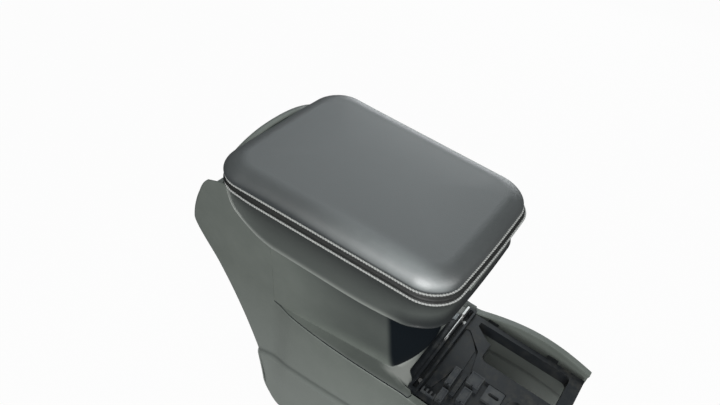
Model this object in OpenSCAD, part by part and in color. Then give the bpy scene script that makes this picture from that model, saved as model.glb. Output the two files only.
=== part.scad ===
// Centre armrest of a car: a stitched lid hinged at its rear edge, with a sprung latch under its front edge, on the rear
// part of the floor console. The origin is at floor level under the middle of the console. +X is forward, +Y is left, +Z up.

/* [Lid] */
// Length of the lid at its upper row of stitching
lid_len = 320; // [300:5:330]
// Width of the lid at its front end
lid_front_w = 215; // [208:1:225]
// Width of the lid at its rear end
lid_rear_w = 242; // [234:1:246]
// Corner radius of the lid seen from above
lid_corner_r = 39; // [34:1:44]
// Bow of the front and rear edges of the lid
lid_bow = 3; // [1:0.5:4]
// Height of the upper row of stitching above the floor
seam_z = 450; // [440:5:480]
// Rise of the cushion's edge above the upper row
cushion_rise = 20.7; // [16:0.1:26]
// Width of the cushion's rounded edge
cushion_edge = 25.6; // [20:0.1:32]
// Swell of the cushion's side over the upper row
cushion_swell = 1.5; // [0.5:0.1:2.5]
// Crown of the cushion's top
cushion_crown = 2.5; // [1:0.1:5]
// Thickness of the leather and its backing
leather_t = 3; // [2:0.1:4]
// Height of the band between the two rows
band_h = 9.6; // [8:0.1:11]
// How far the band stands out at the lower row
band_out = 4.4; // [3:0.1:5]
// Height of the structural core's flange under the band
core_flange = 3.4; // [2.5:0.1:5]
// Thickness of the core's plate, walls and ribs
core_t = 3; // [2.4:0.1:3.6]
// Thickness of the inner liner
liner_t = 3; // [2:0.1:4]

/* [Skirt] */
// Depth of the skirt's rim below the upper row, at its deepest
skirt_depth = 71; // [60:1:80]
// How far the rim rises towards the front end
skirt_rise = 13; // [8:1:18]
// Wall of the skirt
skirt_wall = 3; // [2.4:0.1:4]
// How far the skirt draws in under the band
skirt_cove = 4.5; // [2:0.1:6]
// Length over which the rim sweeps up to the seam at the rear
skirt_sweep = 92; // [80:1:100]

/* [Console] */
// Length of the console
console_len = 579; // [560:1:600]
// Distance from the rearmost point of the console to the lid's rear edge
ear_overhang = 93; // [88:1:98]
// Overhang of the lid's rear end over the console's shoulder at each side
side_overhang = 27.5; // [26:0.5:30]
// How far the sides swell out between the rear corners and the carrier
belly = 8; // [4:0.5:9]
// How far the ears spread beyond the shoulder's half width
ear_spread = 10.5; // [9:0.5:12]
// How far the base spreads beyond the shoulder's half width
base_spread = 30.5; // [24:0.5:34]
// Height of the shoulder where the side panels end
ledge_z = 228; // [215:1:240]
// Height of the crease at the rear edge of the side panels
crease_z = 76; // [70:1:90]
// How far the crease rises towards the front
crease_rise = 70; // [50:1:74]
// Step of the panel at the crease
crease_step = 2.5; // [1:0.5:4]
// Wall of the moulded panels
panel_t = 3; // [2.5:0.1:3.5]
// Outer radius of the rear corners
rear_corner_r = 8; // [7:0.5:12]
// Bow of the rear panel outwards
rear_bow = 3; // [2:0.5:4]
// Width of the panels' turned-in edges
turn_in = 14; // [12:0.5:16]
// Width of the rounded top edge beside the carrier
top_edge_w = 10; // [8:0.5:12]
// Rise of the top edge beside the carrier
arch_h = 18; // [10:1:22]
// Sideways swell of the panels beside the carrier
bulge = 8; // [4:0.5:9]

/* [Box] */
// Distance from the lid's front edge back to the corners of the box
box_setback = 53; // [48:1:58]
// How far each front corner of the box stands in from the lid's front half width
box_inset = 33.5; // [32:0.5:36]
// Bow of the front wall
front_bow = 17; // [10:1:20]
// How far the front wall leans back over its height
front_lean = 31; // [20:1:34]
// Length of the shoulder before the box's front corners
shoulder_len = 196; // [185:1:205]
// Drop from the upper row to the bin's rim
rim_drop = 30; // [28:1:34]
// Height of the bin's floor above the ground
bin_floor_z = 252; // [246:1:280]
// Wall of the bin and thickness of its rim
bin_t = 3; // [2.5:0.1:4]
// Corner radius of the bin
bin_r = 12; // [8:1:16]
// Thickness of the bin mat
mat_t = 2; // [1.5:0.1:3]

/* [Hinge] */
// Distance of the hinge axis forward of the lid's rear edge
hinge_in = 10; // [9:0.5:12]
// Radius of the hinge pin
pin_r = 4; // [3:0.1:4.5]
// Running clearance of each pin in its bores
pin_gap = 0.05; // [0.03:0.01:0.08]
// Thickness of the hinge arms
arm_t = 4; // [3:0.1:4.4]
// Thickness of the steel brackets
bracket_t = 3; // [2.5:0.1:3.4]
// Wall of the hinge cover
cover_t = 2.5; // [2:0.1:3]

/* [Latch] */
// Half width of the latch handle
handle_w = 40; // [30:1:44]
// Radius of the latch pin
latch_pin_r = 2; // [1.5:0.1:2.4]
// Gap round the handle in its pocket
handle_gap = 1; // [0.8:0.1:1.4]

/* [Carrier] */
// Height of the carrier's frame
frame_h = 20; // [16:1:26]
// Width of the carrier's bars
bar_w = 8; // [6:0.5:10]
// Height of the raised sockets above the deck
socket_h = 8; // [5:0.5:10]
// Width of the cross rail
rail_w = 13; // [10:0.5:14]

/* [Hidden] */
$fn = 48;

// General gap between pieces that are fitted together
fit = 0.3;
lid_half_w = (lid_front_w + lid_rear_w) / 4;
waist_w = lid_rear_w / 2 - side_overhang;
box_front_w = lid_front_w / 2 - box_inset;
lid_taper = (lid_rear_w - lid_front_w) / (lid_rear_w + lid_front_w);
x_back = -console_len / 2 + rear_bow;
x_end = console_len / 2;
lid_x = x_back + ear_overhang + lid_len / 2;
lid_front_x = lid_x + lid_len / 2;
band_z = seam_z - band_h;
core_z = band_z - core_flange;
liner_z = core_z - liner_t;
core_in = 7;
liner_in = 8;
hinge_x = lid_x - lid_len / 2 + hinge_in;
hinge_z = seam_z - rim_drop;
rim_z = seam_z - rim_drop;
split_x = lid_front_x - box_setback - shoulder_len;
corner_x = lid_front_x - box_setback;
lean_top = rim_z - bin_t;
rail_x = corner_x + 32;
deck_z = ledge_z - 2;

function mix(a, b, t) = a + (b - a) * t;
function clamp01(t) = max(0, min(1, t));
function bezier(p, t) = let (u = 1 - t)
    u * u * u * p[0] + 3 * u * u * t * p[1] + 3 * u * t * t * p[2] + t * t * t * p[3];

// Faces between rows of points that run round a form, each row counter-clockwise seen from the last row's side
function skin(rows, cols, wrap) = [
    for (i = [0 : rows - (wrap ? 1 : 2)]) for (j = [0 : cols - 1])
        let (a = i * cols + j, b = i * cols + (j + 1) % cols, n = (i + 1) % rows,
            c = n * cols + (j + 1) % cols, d = n * cols + j)
            each [[a, c, b], [a, d, c]]];

// Solid through a stack of rings, closed by its first and last ring
module loft(rings) {
    rows = len(rings);
    cols = len(rings[0]);
    polyhedron([for (r = rings) each r],
        concat(skin(rows, cols, false), [[for (j = [0 : cols - 1]) j]],
            [[for (j = [cols - 1 : -1 : 0]) (rows - 1) * cols + j]]), convexity = 6);
}

// Solid through rings that run out along a wall's outer side and back along its inner side
module loft_wall(rings) {
    rows = len(rings);
    cols = len(rings[0]);
    last = (rows - 1) * cols;
    polyhedron([for (r = rings) each r], concat(skin(rows, cols, false), [
        for (i = [0 : cols / 2 - 2]) let (a = i, b = i + 1, c = cols - 2 - i, d = cols - 1 - i)
            each [[a, b, c], [a, c, d], [last + c, last + b, last + a], [last + d, last + c, last + a]]]),
        convexity = 6);
}

// Solid through rings that go up the outside and come down the inside
module loft_tube(rings) {
    polyhedron([for (r = rings) each r], skin(len(rings), len(rings[0]), true), convexity = 6);
}

// Extrudes an outline in X and Z sideways, between y0 and y1
module sideways(y0, y1) {
    translate([0, y1, 0]) rotate([90, 0, 0]) linear_extrude(y1 - y0) children();
}

// Plan of the lid: a rounded rectangle grown by off, narrower at the front, with bowed ends
function lid_warp(p) = [
    p.x + lid_bow * (1 - pow(p.y / lid_half_w, 2)) * p.x / (lid_len / 2),
    p.y * (1 - lid_taper * p.x / (lid_len / 2))];
function lid_ring(off, steps = 7) =
    let (a = lid_len / 2 + off, b = lid_half_w + off,
        r = min(b, max(3, off < 0 ? lid_corner_r + 0.6 * off : lid_corner_r)),
        centres = [[a - r, b - r], [r - a, b - r], [r - a, r - b], [a - r, r - b]],
        runs = [6, 4, 6, 4])
    [for (q = [0 : 3]) let (c = centres[q], nc = centres[(q + 1) % 4], n = runs[q],
            e = c + r * [cos(90 * q + 90), sin(90 * q + 90)], s = nc + r * [cos(90 * q + 90), sin(90 * q + 90)])
        each concat(
            [for (i = [0 : steps]) lid_warp(c + r * [cos(90 * (q + i / steps)), sin(90 * (q + i / steps))])],
            [for (k = [1 : n - 1]) lid_warp(mix(e, s, k / n))])];
function lid_level(off, z, steps = 7) = [for (p = lid_ring(off, steps)) [p.x + lid_x, p.y, z]];

// Rounded form of the cushion, drawn in by inset, from the upper row to the crowned top
module cushion_form(inset, turns, steps) {
    edge = cushion_edge - inset * 0.4;
    rise = cushion_rise - inset;
    side = [for (t = turns) lid_level(-inset - edge * (1 - cos(t)) + cushion_swell * sin(min(180, 3 * t)),
        seam_z + rise * sin(t), steps)];
    crown = [for (k = [0.35, 0.7, 0.95]) lid_level(mix(-inset - edge, 6 - lid_half_w, k),
        seam_z + rise + cushion_crown * (1 - pow(1 - k, 2)), steps)];
    loft(concat(side, crown));
}

module lid_cushion() color("dimgray") difference() {
    cushion_form(0, [0, 10, 22, 36, 50, 64, 78, 90], 7);
    translate([0, 0, -0.01]) cushion_form(leather_t, [0, 30, 60, 90], 5);
}

module foam_pad() color("khaki") cushion_form(leather_t + fit, [0, 30, 60, 90], 5);

module seam_band() color("darkslategray") loft_tube([
    lid_level(band_out, band_z),
    lid_level(band_out + 0.6, band_z + band_h * 0.3),
    lid_level(band_out - 0.2, band_z + band_h * 0.6),
    lid_level(band_out * 0.5, band_z + band_h * 0.87),
    lid_level(0, seam_z),
    lid_level(-core_in - 2, seam_z),
    lid_level(-core_in - 2, band_z)]);

// Depth of the skirt below the band at a place along the lid: a little less to the front, sweeping up to the seam at
// the rear
function skirt_drop(x) = let (s = clamp01((skirt_sweep + 8 - lid_len / 2 - x) / skirt_sweep),
        f = clamp01((x - lid_len / 8) / (0.3125 * lid_len)))
    2 + (skirt_depth - skirt_rise * f * f - band_h - 2) * (1 - s * s);
function skirt_off(v) = 2.5 * pow(1 - v, 3) - skirt_cove * sin(180 * v) * (1 - 0.3 * v) + 0.5 * v;
function skirt_level(v, inset) = [for (p = lid_ring(skirt_off(v) - inset))
    [p.x + lid_x, p.y, band_z - skirt_drop(p.x) * v]];

pocket_top = band_z - 2.4;
pocket_bottom = liner_z - 22;
module lid_skirt() color("dimgray") difference() {
    steps = [1, 0.94, 0.8, 0.6, 0.4, 0.2, 0.08, 0];
    loft_tube(concat([for (v = steps) skirt_level(v, 0)],
        [for (i = [len(steps) - 1 : -1 : 0]) skirt_level(steps[i], skirt_wall)]));
    translate([lid_front_x - 18, -handle_w - handle_gap, pocket_bottom])
        cube([40, 2 * (handle_w + handle_gap), pocket_top - pocket_bottom]);
}

module lid_plate(off, z0, z1) translate([lid_x, 0, z0]) linear_extrude(z1 - z0) polygon(lid_ring(off));

module lid_core() color("gray") {
    wall_in = core_in + 2 + fit;
    lid_plate(-wall_in, seam_z - core_t, seam_z);
    difference() {
        union() {
            lid_plate(-core_in, core_z, band_z);
            lid_plate(-wall_in, band_z, seam_z - core_t);
        }
        lid_plate(-wall_in - core_t, core_z - 1, seam_z - core_t);
    }
    intersection() {
        lid_plate(-wall_in - core_t / 2, core_z, seam_z - core_t / 2);
        union() {
            for (k = [-2 : 2])
                translate([lid_x + k * lid_len / 6 - core_t / 2, -lid_half_w * 1.1, core_z])
                    cube([core_t, lid_half_w * 2.2, seam_z - core_z]);
            for (s = [-1, 1])
                translate([lid_x - lid_len / 2, s * arm_mid_y - core_t / 2, core_z])
                    cube([lid_len, core_t, seam_z - core_z]);
        }
    }
}

module lid_liner() color("slategray") difference() {
    lid_plate(-liner_in, liner_z, core_z);
    for (s = [-1, 1]) for (x = arm_screw_x) translate([x, s * arm_lug_y, liner_z - 1])
        cylinder(r = screw_r + pin_gap, h = liner_t + 2);
}

// The hinge: two bracket ears outside two arms, with one pin through all four
arm_y = waist_w - 12;
arm_mid_y = arm_y - 21.5;
arm_lug_y = arm_y - 11.5;
cover_w = arm_y - 2.5;
arm_ring_r = 11;
screw_r = 2;
arm_screw_x = [hinge_x + 38, hinge_x + 62];
bracket_y = arm_y + arm_t + 0.5;
module arm() {
    difference() {
        sideways(arm_y, arm_y + arm_t) {
            difference() {
                union() {
                    translate([hinge_x, hinge_z]) circle(arm_ring_r);
                    polygon([[hinge_x - 8, hinge_z + 7], [hinge_x + 20, liner_z], [hinge_x + 75, liner_z],
                        [hinge_x + 75, liner_z - 4], [hinge_x + 30, liner_z - 4], [hinge_x + 6, hinge_z - 9]]);
                }
                translate([hinge_x, hinge_z]) circle(pin_r + pin_gap);
            }
        }
    }
    difference() {
        translate([hinge_x + 25, arm_lug_y - 8, liner_z - 3]) cube([50, arm_y + 1 - arm_lug_y + 8, 3]);
        for (x = arm_screw_x) translate([x, arm_lug_y, liner_z - 4]) cylinder(r = screw_r + pin_gap, h = 5);
    }
}

module hinge_arms() color("silver") {
    arm();
    mirror([0, 1, 0]) arm();
}

module arm_screws() color("gray") for (s = [-1, 1]) for (x = arm_screw_x) translate([x, s * arm_lug_y, 0]) {
    translate([0, 0, liner_z - 3]) cylinder(r = screw_r, h = liner_t + 3);
    translate([0, 0, liner_z - 5.2]) cylinder(r = 4, h = 2.2);
}

// Cover behind the lid's rear edge: an arched shield that turns with the lid and hides the hinge
cover_out = [[-13.5, 41.5], [-18, 42.2], [-21.5, 39], [-25, 25], [-28, 10], [-30, -5], [-30, -16]];
cover_in = [[-30 + cover_t, -16], [-30 + cover_t, -5], [-28 + cover_t, 9.5], [-25 + cover_t, 24], [-21.8 + cover_t, 37.2],
    [-17.4, 42 - cover_t], [-13.5, 41.5 - cover_t]];
function cover_ring(y) = let (drop = 9.5 * pow(abs(y) / (cover_w + 5), 2.5))
    [for (p = concat(cover_out, cover_in))
        [hinge_x + p.x, hinge_z + p.y - drop * clamp01((p.y + 16) / 58), -y]];
module hinge_cover() color("dimgray") {
    rotate([90, 0, 0]) loft_wall([for (k = [7 : -1 : -7]) cover_ring(k / 7 * cover_w)]);
    for (s = [-1, 1]) difference() {
        sideways(s > 0 ? cover_w - cover_t : fit - arm_y, s > 0 ? arm_y - fit : cover_t - cover_w) {
            polygon([[hinge_x - 24, hinge_z + 22], [hinge_x - 27, hinge_z + 6], [hinge_x - 28.5, hinge_z - 10],
                [hinge_x + 8, hinge_z - 8], [hinge_x + 8, hinge_z + 9], [hinge_x - 12, hinge_z + 12]]);
        }
        translate([hinge_x, 0, hinge_z]) rotate([90, 0, 0]) cylinder(r = pin_r + 1, h = 400, center = true);
    }
}

// Latch under the front edge of the lid
latch_x = lid_front_x - 16;
latch_z = liner_z - 5.5;
barrel_r = 4.5;
module latch_bracket() color("silver") for (s = [-1, 1])
    sideways(s > 0 ? handle_w + 2 : -handle_w - 5, s > 0 ? handle_w + 5 : -handle_w - 2) difference() {
        union() {
            translate([latch_x, latch_z]) circle(barrel_r);
            translate([latch_x - barrel_r, latch_z]) square([barrel_r * 2, liner_z - latch_z]);
        }
        translate([latch_x, latch_z]) circle(latch_pin_r + pin_gap);
    }

module latch_pin() color("silver") sideways(-handle_w - 6, handle_w + 6)
    translate([latch_x, latch_z]) circle(latch_pin_r);

module latch_handle() color("dimgray") sideways(-handle_w, handle_w) difference() {
    union() {
        translate([latch_x, latch_z]) circle(barrel_r);
        polygon([[latch_x, latch_z + 3.2], [latch_x + 16.5, latch_z + 3], [latch_x + 17.5, latch_z + 5],
            [latch_x + 21.3, latch_z + 5], [latch_x + 22.8, latch_z + 3], [latch_x + 22, latch_z - 5],
            [latch_x + 20.6, latch_z - 12], [latch_x + 19.5, latch_z - 14.6], [latch_x + 17.6, latch_z - 15.2],
            [latch_x + 16, latch_z - 13.6], [latch_x + 17, latch_z], [latch_x, latch_z - 1]]);
    }
    translate([latch_x, latch_z]) circle(latch_pin_r + pin_gap);
}

// The hook hangs under the handle's barrel and stands just clear of the striker
hook_w = 8;
hook_drop = 46;
striker_x = latch_x - 17;
striker_z = latch_z - 41;
striker_r = 2.5;
module latch_hook() color("silver") sideways(-hook_w, hook_w) polygon([
    [latch_x - 3, latch_z - barrel_r - 0.2], [latch_x + 1, latch_z - barrel_r - 0.2],
    [latch_x + 1, latch_z - hook_drop + 4], [latch_x - 3, latch_z - hook_drop],
    [striker_x + striker_r + 0.5, latch_z - hook_drop + 2], [striker_x + striker_r + 0.5, latch_z - hook_drop + 6],
    [latch_x - 3, latch_z - hook_drop + 8]]);

module latch_spring() color("silver") translate([latch_x - barrel_r - 1.1, -6, latch_z - 8])
    cube([0.8, 12, liner_z - latch_z + 8]);

// Rear outline of the console in X and Z, from the floor to the ear, whose top edge runs forward from its tip
ear_tip = [x_back + 56.6, seam_z - 46];
ear_end = [x_back + ear_overhang - 1, seam_z - 31.5];
hip = [x_back, seam_z - 154];
waist = [x_back + 41.5, ledge_z];
heel = [x_back + 123.5, crease_z + 9];
toe = [x_back + 154.5, 30];
base = [x_back + 187.5, 0];
rear_curves = [
    [[base, toe + [22, -28], toe + [4, -16], toe], 3],
    [[toe, toe + [-6, 18], heel + [8, -16], heel], 3],
    [[heel, heel + [-24, 45], waist + [26, -42], waist], 6],
    [[waist, waist + [-12, 18.5], hip + [1.5, -20], hip], 4],
    [[hip, hip + [6, 35], ear_tip + [-25, -23], ear_tip], 6],
    [[ear_tip, ear_tip + [12, 5.5], ear_end + [-12, -4], ear_end], 2]];
rear_outline = concat([base], [for (c = rear_curves) for (i = [1 : c[1]]) bezier(c[0], i / c[1])]);

// Half width of the console outside, at a place along it and a height
function half_w(x, z) =
    let (up = pow((z - ledge_z) / (seam_z - 27 - ledge_z), 2),
        down = pow(clamp01((ledge_z - z) / (ledge_z - crease_z)), 2),
        low = clamp01((crease_z - z) / crease_z),
        step = clamp01((crease_z - z) / 6),
        swell = (bulge * sin(180 * clamp01((x - rail_x) / (x_end - rail_x)))
            + belly * sin(180 * pow(clamp01((x - split_x + 10) / 255), 0.75))) * clamp01(z / crease_z))
    (z > ledge_z ? waist_w + ear_spread * up
        : waist_w + (ear_spread - 2) * down + crease_step * step + (base_spread - ear_spread + 2 - crease_step) * low) + swell;
// The crease rises towards the front, so rows near it are tilted
function tilt(dx, z) = z + crease_rise * (1 - exp(-dx / 120))
    * (z < crease_z ? z / crease_z : clamp01((ledge_z - z) / (ledge_z - crease_z)));

// Plan section of the right-hand panel at one row, with a wall and a turned-in rear edge
function panel_row(p, wall, turn) =
    let (r = rear_corner_r, w = half_w(p.x, p.y), span = x_end - p.x - r,
        outer = concat([[p.x, turn - w]], [for (a = [180, 210, 240, 270])
            [p.x + r + r * cos(a), r - w + r * sin(a)]],
            [for (k = [1 : 10]) let (x = p.x + r + span * k / 10) [x, -half_w(x, p.y)]]),
        inner = concat([[p.x + wall, turn - w]], [for (a = [180, 210, 240, 270])
            [p.x + r + (r - wall) * cos(a), r - w + (r - wall) * sin(a)]],
            [for (k = [1 : 10]) let (x = p.x + r + span * k / 10) [x, wall - half_w(x, p.y)]]),
        n = len(inner))
    [for (q = concat(outer, [for (i = [n - 1 : -1 : 0]) inner[i]])) [q.x, q.y, tilt(q.x - p.x, p.y)]];

// Top edge of the side panels in X and Z, from front to rear
arch_x0 = rail_x + 13;
function top_z(x) = ledge_z + arch_h * sin(180 * clamp01((x - arch_x0) / (1.345 * (x_end - arch_x0))));
side_front_z = rim_z - 40;
front_top = [for (k = [0 : 12]) let (x = mix(x_end, arch_x0, k / 12)) [x, top_z(x)]];
ear_front = [for (k = [0 : 10]) let (s = k / 10)
    [mix(split_x, ear_end.x, 1 - pow(1 - s, 1.1)), mix(side_front_z, ear_end.y, s)]];
module above_panel() polygon(concat([[x_end + 1, seam_z + 20], [x_end + 1, ledge_z + arch_h * 0.72]], front_top,
    [[split_x, ledge_z]], ear_front, [[ear_end.x, seam_z + 20]]));
module top_band() polygon(concat([for (p = front_top) p], [[split_x, ledge_z], [split_x, ledge_z - panel_t]],
    [for (i = [len(front_top) - 1 : -1 : 0]) front_top[i] - [0, panel_t]]));

module side_panel() {
    difference() {
        loft_wall([for (p = rear_outline) panel_row(p, panel_t, turn_in)]);
        sideways(-200, 0) above_panel();
    }
    intersection() {
        loft_wall([for (p = rear_outline) if (p.y > crease_z && p.y < rim_z) panel_row(p, top_edge_w, turn_in)]);
        sideways(-200, 0) top_band();
    }
}

module side_panel_right() color("slategray") side_panel();

module side_panel_left() color("slategray") mirror([0, 1, 0]) side_panel();

// Rear panel between the turned-in edges of the side panels
trim_top = crease_z;
function rear_row(x, z, half, bow, wall) =
    [for (k = [5 : -1 : -5]) [x - bow * (1 - k * k / 25), half * k / 5, z],
        for (k = [-5 : 5]) [x - bow * (1 - k * k / 25) + wall, half * k / 5, z]];
rear_rows = [for (p = rear_outline) if (p.y > trim_top + 2 && p.y < rim_z - 30) p];
rear_top = rim_z - 24;
trim_t = 2.5;
module rear_panel() color("slategray") {
    top = [lookup(rear_top, [for (p = rear_outline) [p.y, p.x]]), rear_top];
    first_x = lookup(trim_top, [for (p = rear_outline) [p.y, p.x]]);
    rows = concat([[first_x, trim_top]], rear_rows, [top]);
    loft_wall([for (p = rows) rear_row(p.x, p.y, half_w(p.x, p.y) - turn_in - 2 * fit, rear_bow, panel_t)]);
    // Lip that curls forward under the hinge cover
    sideways(-half_w(top.x, rear_top) + turn_in + 1, half_w(top.x, rear_top) - turn_in - 1)
        polygon([[top.x, rear_top - panel_t], [hinge_x - 37, rear_top + 1], [hinge_x - 36, rear_top + 3.6],
            [top.x + 1, rear_top]]);
}

module rear_lower_trim() color("dimgray") {
    rows = [for (p = rear_outline) if (p.y < trim_top) p];
    first_x = lookup(trim_top - 0.5, [for (p = rear_outline) [p.y, p.x]]);
    all_rows = concat(rows, [[first_x, trim_top - 0.5]]);
    loft_wall([for (p = all_rows) let (lip = trim_t + 3.5 * sin(180 * p.y / trim_top))
        rear_row(p.x - lip, p.y, half_w(p.x, p.y) - 3, rear_bow * sin(180 * p.y / trim_top), trim_t)]);
    // Pads that bear on the side panels' edges
    for (s = [-1, 1]) loft_wall([for (p = all_rows) let (lip = trim_t + 3.5 * sin(180 * p.y / trim_top),
            y0 = s * (half_w(p.x, p.y) - 8) - 4, y1 = s * (half_w(p.x, p.y) - 8) + 4)
        [[p.x - lip + 0.2, y1, p.y], [p.x - lip + 0.2, y0, p.y], [p.x, y0, p.y], [p.x, y1, p.y]]]);
}

// Upper surround: a box with a bowed, leaning front wall on a flat shoulder
function lean_x(z) = -front_lean * clamp01((z - ledge_z) / (lean_top - ledge_z));
function u_path(z, inset, cove) =
    let (cx = corner_x + lean_x(z) - inset, wy = min(half_w(split_x, z), half_w(split_x, rim_z)) - inset,
        fy = box_front_w - inset, r = 8 - inset)
    concat([for (k = [0 : 5]) let (s = k / 5) [mix(split_x, cx - r, s), -mix(wy, fy, s) - cove * 0.15]],
        [for (a = [300, 330]) [cx - r + r * cos(a) + cove * 0.6, r - fy + r * sin(a)]],
        [for (k = [-4 : 4]) let (y = (fy - r) * k / 4) [cx + front_bow * (1 - k * k / 16) + cove, y]],
        [for (a = [30, 60]) [cx - r + r * cos(a) + cove * 0.6, fy - r + r * sin(a)]],
        [for (k = [5 : -1 : 0]) let (s = k / 5) [mix(split_x, cx - r, s), mix(wy, fy, s) + cove * 0.15]]);
function u_ring(z, cove) = let (inner = u_path(z, panel_t, cove), n = len(inner))
    [for (q = concat(u_path(z, 0, cove), [for (i = [n - 1 : -1 : 0]) inner[i]])) [q.x, q.y, z]];
module upper_surround() color("slategray") {
    foot = ledge_z + panel_t;
    loft_wall(concat([for (k = [0, 2, 5, 9]) u_ring(foot + k, 4 * pow(1 - k / 9, 2))],
        [for (z = [mix(foot + 9, lean_top, 0.35), mix(foot + 9, lean_top, 0.7), lean_top]) u_ring(z, 0)]));
    difference() {
        edge = [for (k = [0 : 8]) let (x = mix(split_x, corner_x + 42, k / 8)) [x, half_w(x, ledge_z) - 0.8]];
        translate([0, 0, ledge_z]) linear_extrude(panel_t + 0.2) polygon(concat([for (p = edge) [p.x, -p.y]], [
            [corner_x + 42, -frame_w - 0.5], [corner_x + 31, -frame_w - 0.5], [corner_x + 30, 3 - box_front_w],
            [corner_x + 21 + front_bow * 0.1, -20], [corner_x + 21 + front_bow * 0.1, 20],
            [corner_x + 30, box_front_w - 3], [corner_x + 31, frame_w + 0.5], [corner_x + 42, frame_w + 0.5]],
            [for (k = [8 : -1 : 0]) edge[k]]));
        translate([0, 0, ledge_z - 1]) linear_extrude(panel_t + 3)
            polygon([for (q = u_path(ledge_z, panel_t, 0)) [q.x - (q.x < split_x + 1 ? 1 : 0), q.y]]);
    }
}

// Storage bin hung in the surround by its rim
bin_x0 = hinge_x + 43;
bin_x1 = corner_x - front_lean - panel_t - 3;
bin_w = box_front_w - panel_t - 4;
module bin_plan(inset) translate([bin_x0 + inset, inset - bin_w]) {
    r = bin_r - inset * 0.5;
    translate([r, r]) offset_square([bin_x1 - bin_x0 - 2 * inset - 2 * r, 2 * (bin_w - inset) - 2 * r], r);
}

// Rectangle with round corners, drawn from four circles and two bars
module offset_square(size, r) {
    for (x = [0, size.x]) for (y = [0, size.y]) translate([x, y]) circle(r);
    translate([-r, 0]) square([size.x + 2 * r, size.y]);
    translate([0, -r]) square([size.x, size.y + 2 * r]);
}

module storage_bin() color("black") difference() {
    union() {
        translate([0, 0, bin_floor_z]) linear_extrude(rim_z - bin_floor_z) bin_plan(0);
        translate([0, 0, rim_z - bin_t]) linear_extrude(bin_t) polygon(concat(
            [[bin_x0, -bin_w - 16]], [for (q = u_path(lean_top, 0.5, 0)) q], [[bin_x0, bin_w + 16]]));
    }
    translate([0, 0, bin_floor_z + bin_t]) linear_extrude(rim_z) bin_plan(bin_t);
    for (y = bracket_screw_y) translate([bin_x0 - 1, y, bracket_screw_z]) rotate([0, 90, 0])
        cylinder(r = screw_r + pin_gap, h = bin_t + 2);
}

module bin_mat() color("dimgray") {
    translate([0, 0, bin_floor_z + bin_t]) linear_extrude(mat_t) bin_plan(bin_t + 0.5);
    for (k = [1 : 7]) translate([mix(bin_x0, bin_x1, k / 8) - 1, 12 - bin_w, bin_floor_z + bin_t + mat_t])
        cube([2, 2 * bin_w - 24, 1]);
}

// Steel bracket behind the bin with two ears for the hinge pin
plate_z = hinge_z - 48;
bracket_screw_y = [17 - bin_w, bin_w - 17];
bracket_screw_z = plate_z + 13;
module hinge_bracket() color("silver") {
    side = half_w(hinge_x, plate_z) - panel_t - fit;
    front = bin_x0 - fit;
    difference() {
        union() {
            translate([hinge_x - 44, -side, plate_z]) cube([front - hinge_x + 44, 2 * side, bracket_t]);
            translate([front - bracket_t, -bin_w - 3, plate_z]) cube([bracket_t, 2 * bin_w + 6, 24]);
        }
        for (y = bracket_screw_y) translate([front - bracket_t - 1, y, bracket_screw_z]) rotate([0, 90, 0])
            cylinder(r = screw_r + pin_gap, h = bracket_t + 2);
        translate([hinge_x - 12, 0, plate_z - 1]) cylinder(r = 16, h = bracket_t + 2);
    }
    for (s = [-1, 1]) sideways(s > 0 ? bracket_y : -bracket_y - bracket_t, s > 0 ? bracket_y + bracket_t : -bracket_y)
        difference() {
            union() {
                translate([hinge_x, hinge_z]) circle(12);
                polygon([[hinge_x - 12, hinge_z], [hinge_x - 30, plate_z + bracket_t / 2],
                    [hinge_x + 34, plate_z + bracket_t / 2], [hinge_x + 12, hinge_z]]);
            }
            translate([hinge_x, hinge_z]) circle(pin_r + pin_gap);
        }
}

module hinge_pin() color("silver") {
    end = bracket_y + bracket_t + 0.4;
    sideways(-end, end) translate([hinge_x, hinge_z]) circle(pin_r);
    for (s = [-1, 1]) translate([hinge_x, s * (end + 0.8), hinge_z]) rotate([90, 0, 0])
        cylinder(r = pin_r + 2, h = 1.6, center = true);
}

// Coil round the pin, swept as a tube along a helix
coil_r = pin_r + 3.4;
wire_r = 1.2;
coil_turns = 5;
coil_sides = 6;
coil_steps = 16;
function coil_ring(i) =
    let (a = 360 * i / coil_steps, y = 3.2 * i / coil_steps)
    [for (j = [0 : coil_sides - 1]) let (b = -360 * j / coil_sides, r = coil_r + wire_r * cos(b))
        [hinge_x + r * cos(a), y - 8 + wire_r * sin(b), hinge_z + r * sin(a)]];
module torsion_spring() color("silver") {
    loft([for (i = [coil_turns * coil_steps : -1 : 0]) coil_ring(i)]);
    translate([hinge_x + coil_r, -8, plate_z + bracket_t]) cylinder(r = wire_r, h = hinge_z - plate_z - bracket_t, $fn = 24);
    translate([hinge_x + coil_r, coil_turns * 3.2 - 8, hinge_z]) rotate([0, 75, 0])
        cylinder(r = wire_r, h = 24, $fn = 24);
}

module bracket_screws() color("gray") for (y = bracket_screw_y) translate([bin_x0, y, bracket_screw_z]) {
    translate([-fit - bracket_t, 0, 0]) rotate([0, 90, 0]) cylinder(r = screw_r, h = bracket_t + fit + bin_t);
    translate([-fit - bracket_t - 2.2, 0, 0]) rotate([0, 90, 0]) cylinder(r = 4, h = 2.2);
}

// Striker: a bar held out in front of the box by two arms and a foot
striker_w = 12;
function wall_x(z) = corner_x + lean_x(z) + front_bow;
module striker() color("silver") {
    translate([striker_x, 0, striker_z]) rotate([90, 0, 0]) cylinder(r = striker_r, h = 2 * striker_w, center = true);
    for (s = [-1, 1]) sideways(s > 0 ? striker_w - 3 : -striker_w, s > 0 ? striker_w : 3 - striker_w)
        polygon([[wall_x(striker_z - 8) + 0.2, striker_z - 8], [striker_x - 1, striker_z - 2], [striker_x, striker_z + 2.4],
            [wall_x(striker_z + 8) + 0.2, striker_z + 8]]);
}

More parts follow.
